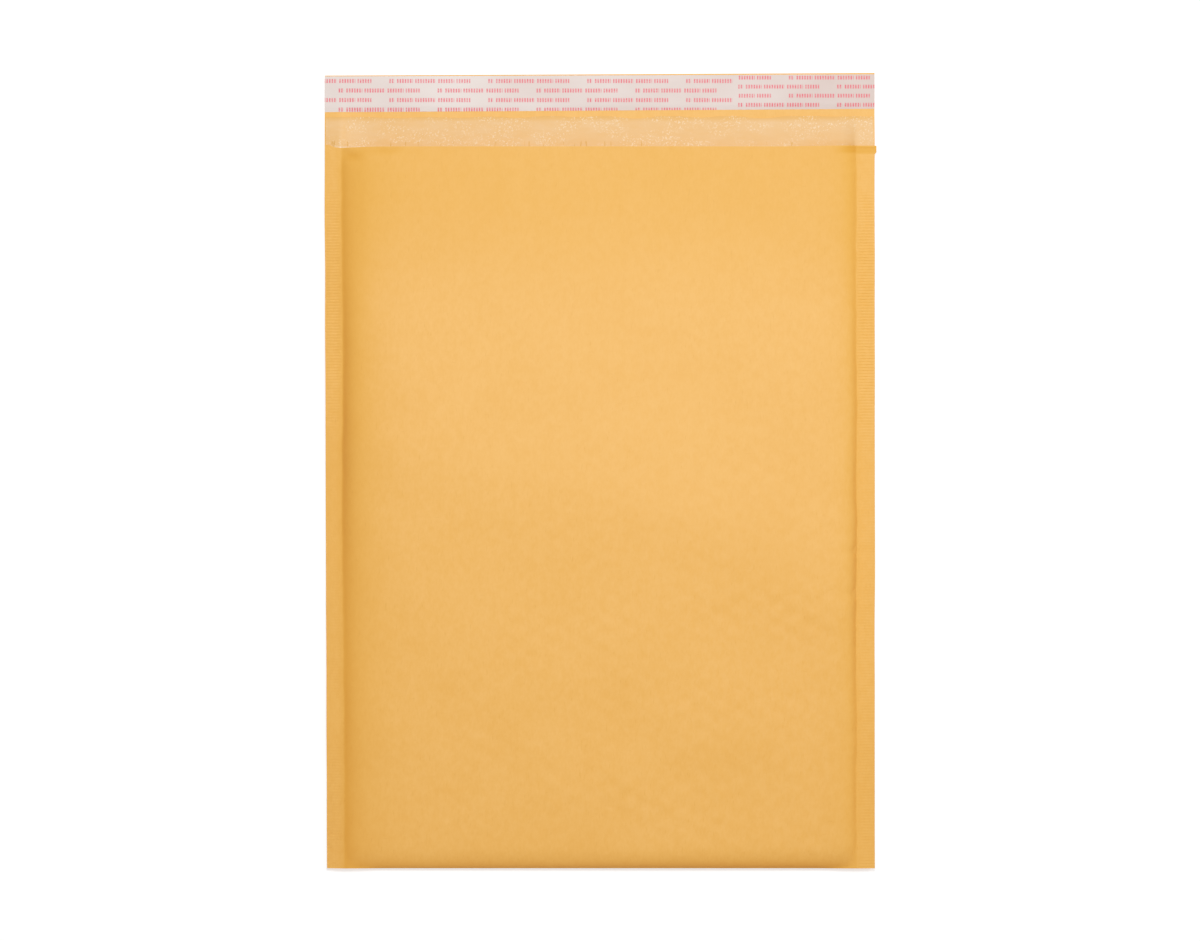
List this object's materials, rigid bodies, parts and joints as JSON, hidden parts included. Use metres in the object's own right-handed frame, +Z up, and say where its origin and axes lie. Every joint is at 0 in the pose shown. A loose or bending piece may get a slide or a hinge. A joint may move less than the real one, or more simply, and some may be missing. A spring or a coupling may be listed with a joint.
{
  "type": "padded envelope",
  "caption": "Kraft paper envelope with a bubble film lining, lying flat with its flap open and the release liner on its adhesive.",
  "frame": {"origin": "middle of the footprint, on the surface that the back panel lies on", "axes": "+X across the width, +Y from the bottom fold to the flap's free edge, +Z up out of the front panel"},
  "size_m": [0.2907, 0.4204, 0.0136],
  "materials": {
    "kraft_paper": "matte brown kraft with fine fibres",
    "bubble_film": "clear polyethylene film over kraft",
    "hot_melt": "glossy pale adhesive",
    "silicone_paper": "smooth silicone coated white paper with red marks"
  },
  "bodies": {
    "root": {"kraft_cover": "kraft_paper", "bubble_lining": "bubble_film", "adhesive_strip": "hot_melt", "release_liner": "silicone_paper"}
  },
  "joints": []
}
